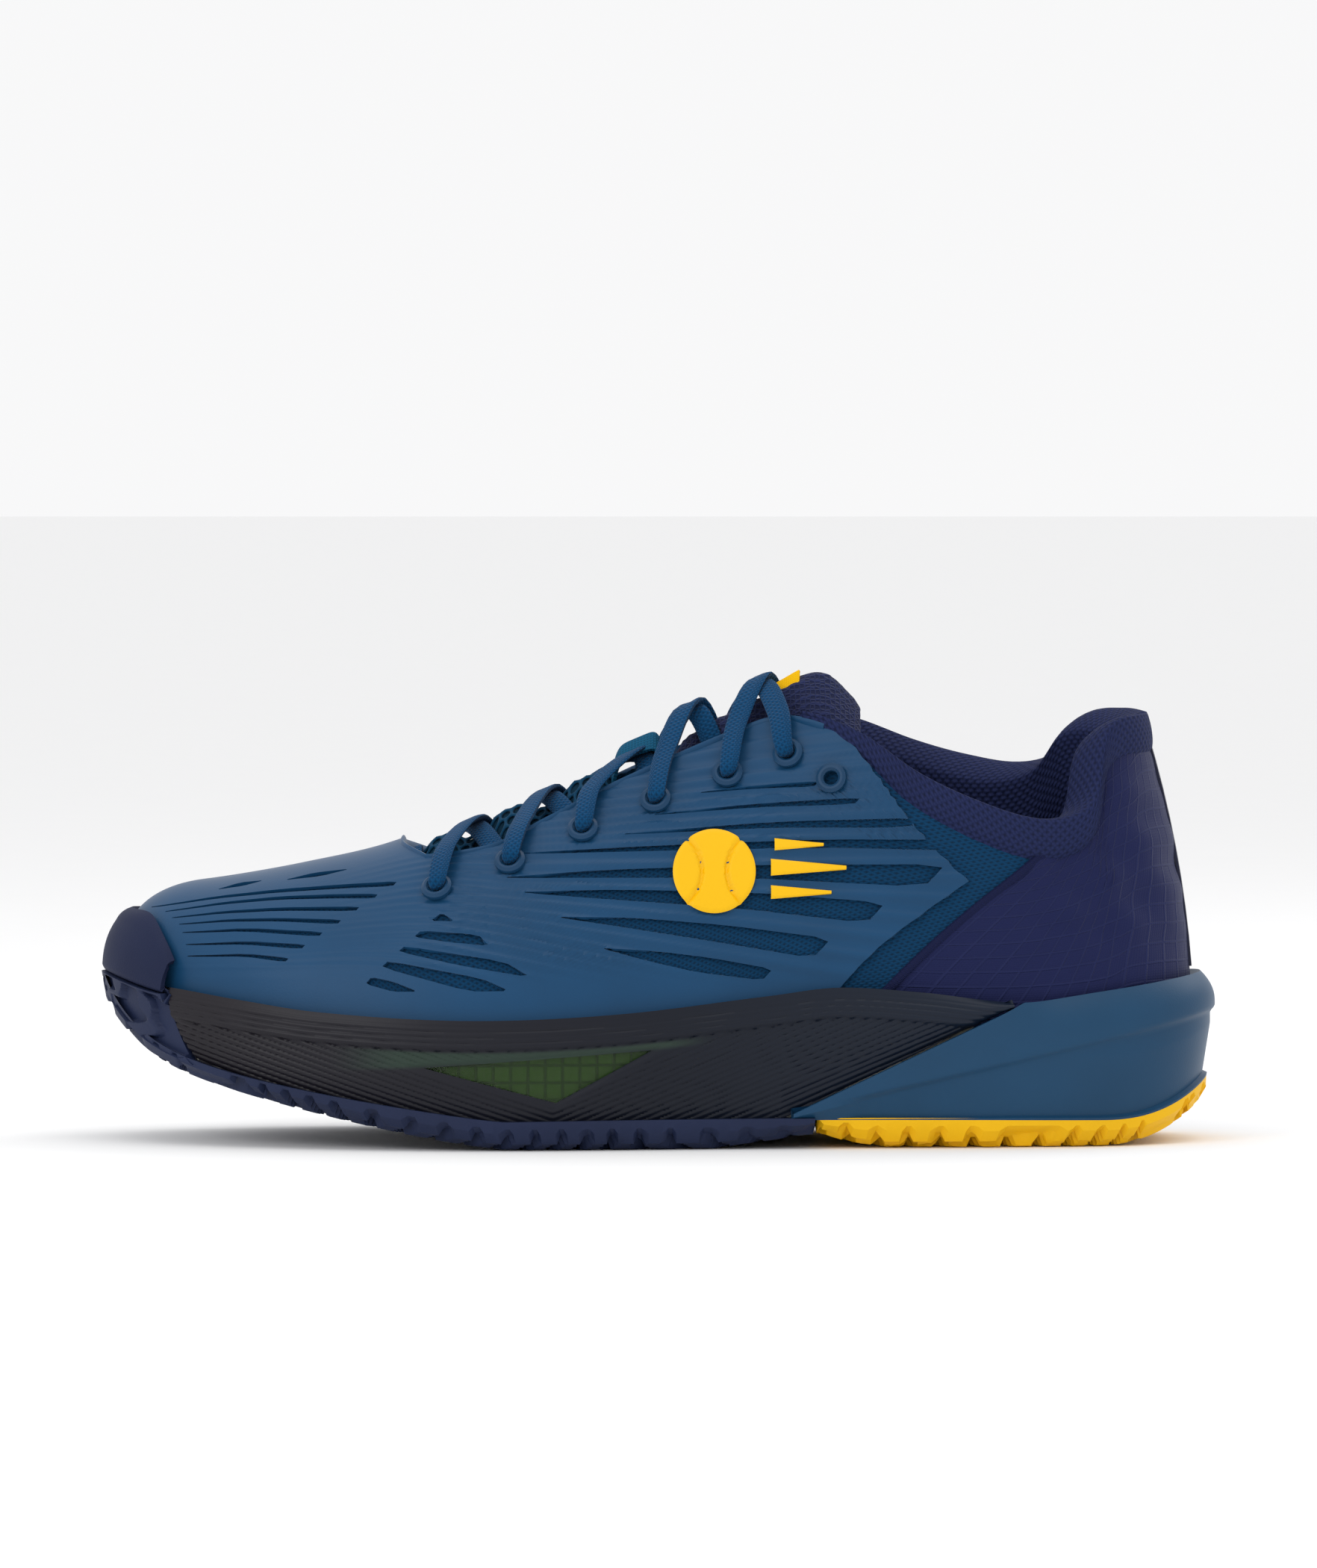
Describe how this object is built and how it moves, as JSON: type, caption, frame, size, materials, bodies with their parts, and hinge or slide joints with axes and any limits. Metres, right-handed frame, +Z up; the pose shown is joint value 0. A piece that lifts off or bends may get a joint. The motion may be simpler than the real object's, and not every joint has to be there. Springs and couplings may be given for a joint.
{
  "type": "court shoe",
  "caption": "Low-cut left court shoe with a moulded skin over woven textile, flat laces, padded tongue and collar, framed midsole and grooved rubber outsole.",
  "frame": {"origin": "on the court, at the middle of the shoe's length and width", "axes": "the toe points to -X and the heel to +X, the outer (lateral) side faces -Y, +Z is up from the court"},
  "size_m": [0.3, 0.1107, 0.1268],
  "materials": {
    "tread_navy": "matt, grained",
    "tread_yellow": "matt",
    "foam": "closed-cell foam",
    "gel": "translucent",
    "frame": "ridged satin",
    "lens": "clear, tinted",
    "carrier": "satin",
    "shank": "satin",
    "board": "non-woven",
    "liner": "knit over foam",
    "textile": "woven",
    "skin": "satin moulded skin",
    "navy_textile": "ripstop",
    "stiffener": "matt",
    "lining": "brushed mesh",
    "collar_foam": "open-cell foam",
    "strip": "satin",
    "mesh": "open spacer mesh",
    "pad": "padded mesh",
    "label": "satin",
    "webbing": "woven",
    "rings": "satin",
    "lace": "flat woven",
    "aglet": "glossy",
    "emblem": "satin print"
  },
  "bodies": {
    "shoe": {"outsole_forefoot": "tread_navy", "outsole_heel": "tread_yellow", "toe_bumper": "tread_navy", "midsole_core": "foam", "heel_cushion": "gel", "forefoot_cushion": "gel", "sidewall_lateral": "frame", "sidewall_medial": "frame", "window_lens": "lens", "heel_carrier": "carrier", "shank_plate": "shank", "insole_board": "board", "upper_textile": "textile", "toe_puff": "stiffener", "upper_skin": "skin", "heel_quarter": "navy_textile", "heel_strip": "strip", "heel_counter": "stiffener", "upper_lining": "lining", "collar_foam": "collar_foam", "tongue_mesh": "mesh", "lace_keeper": "webbing", "eyelets_lateral": "rings", "eyelets_medial": "rings", "lace": "lace", "lace_tail_lateral": "lace", "lace_tail_medial": "lace", "aglets": "aglet", "side_emblem": "emblem"},
    "tongue": {"tongue_pad": "pad", "tongue_label": "label"},
    "sockliner": {"sockliner": "liner"}
  },
  "joints": [
    {"name": "tongue_fold", "type": "hinge", "parent": "shoe", "child": "tongue", "pos_m": [0.0033, -0.003, 0.096], "axis": [0, 1, 0], "range_deg": [0, 10], "stiffness_Nm_per_rad": 0.25},
    {"name": "sockliner_lift", "type": "hinge", "parent": "shoe", "child": "sockliner", "pos_m": [-0.1385, 0, 0.0362], "axis": [0, -1, 0], "range_deg": [0, 4]}
  ]
}
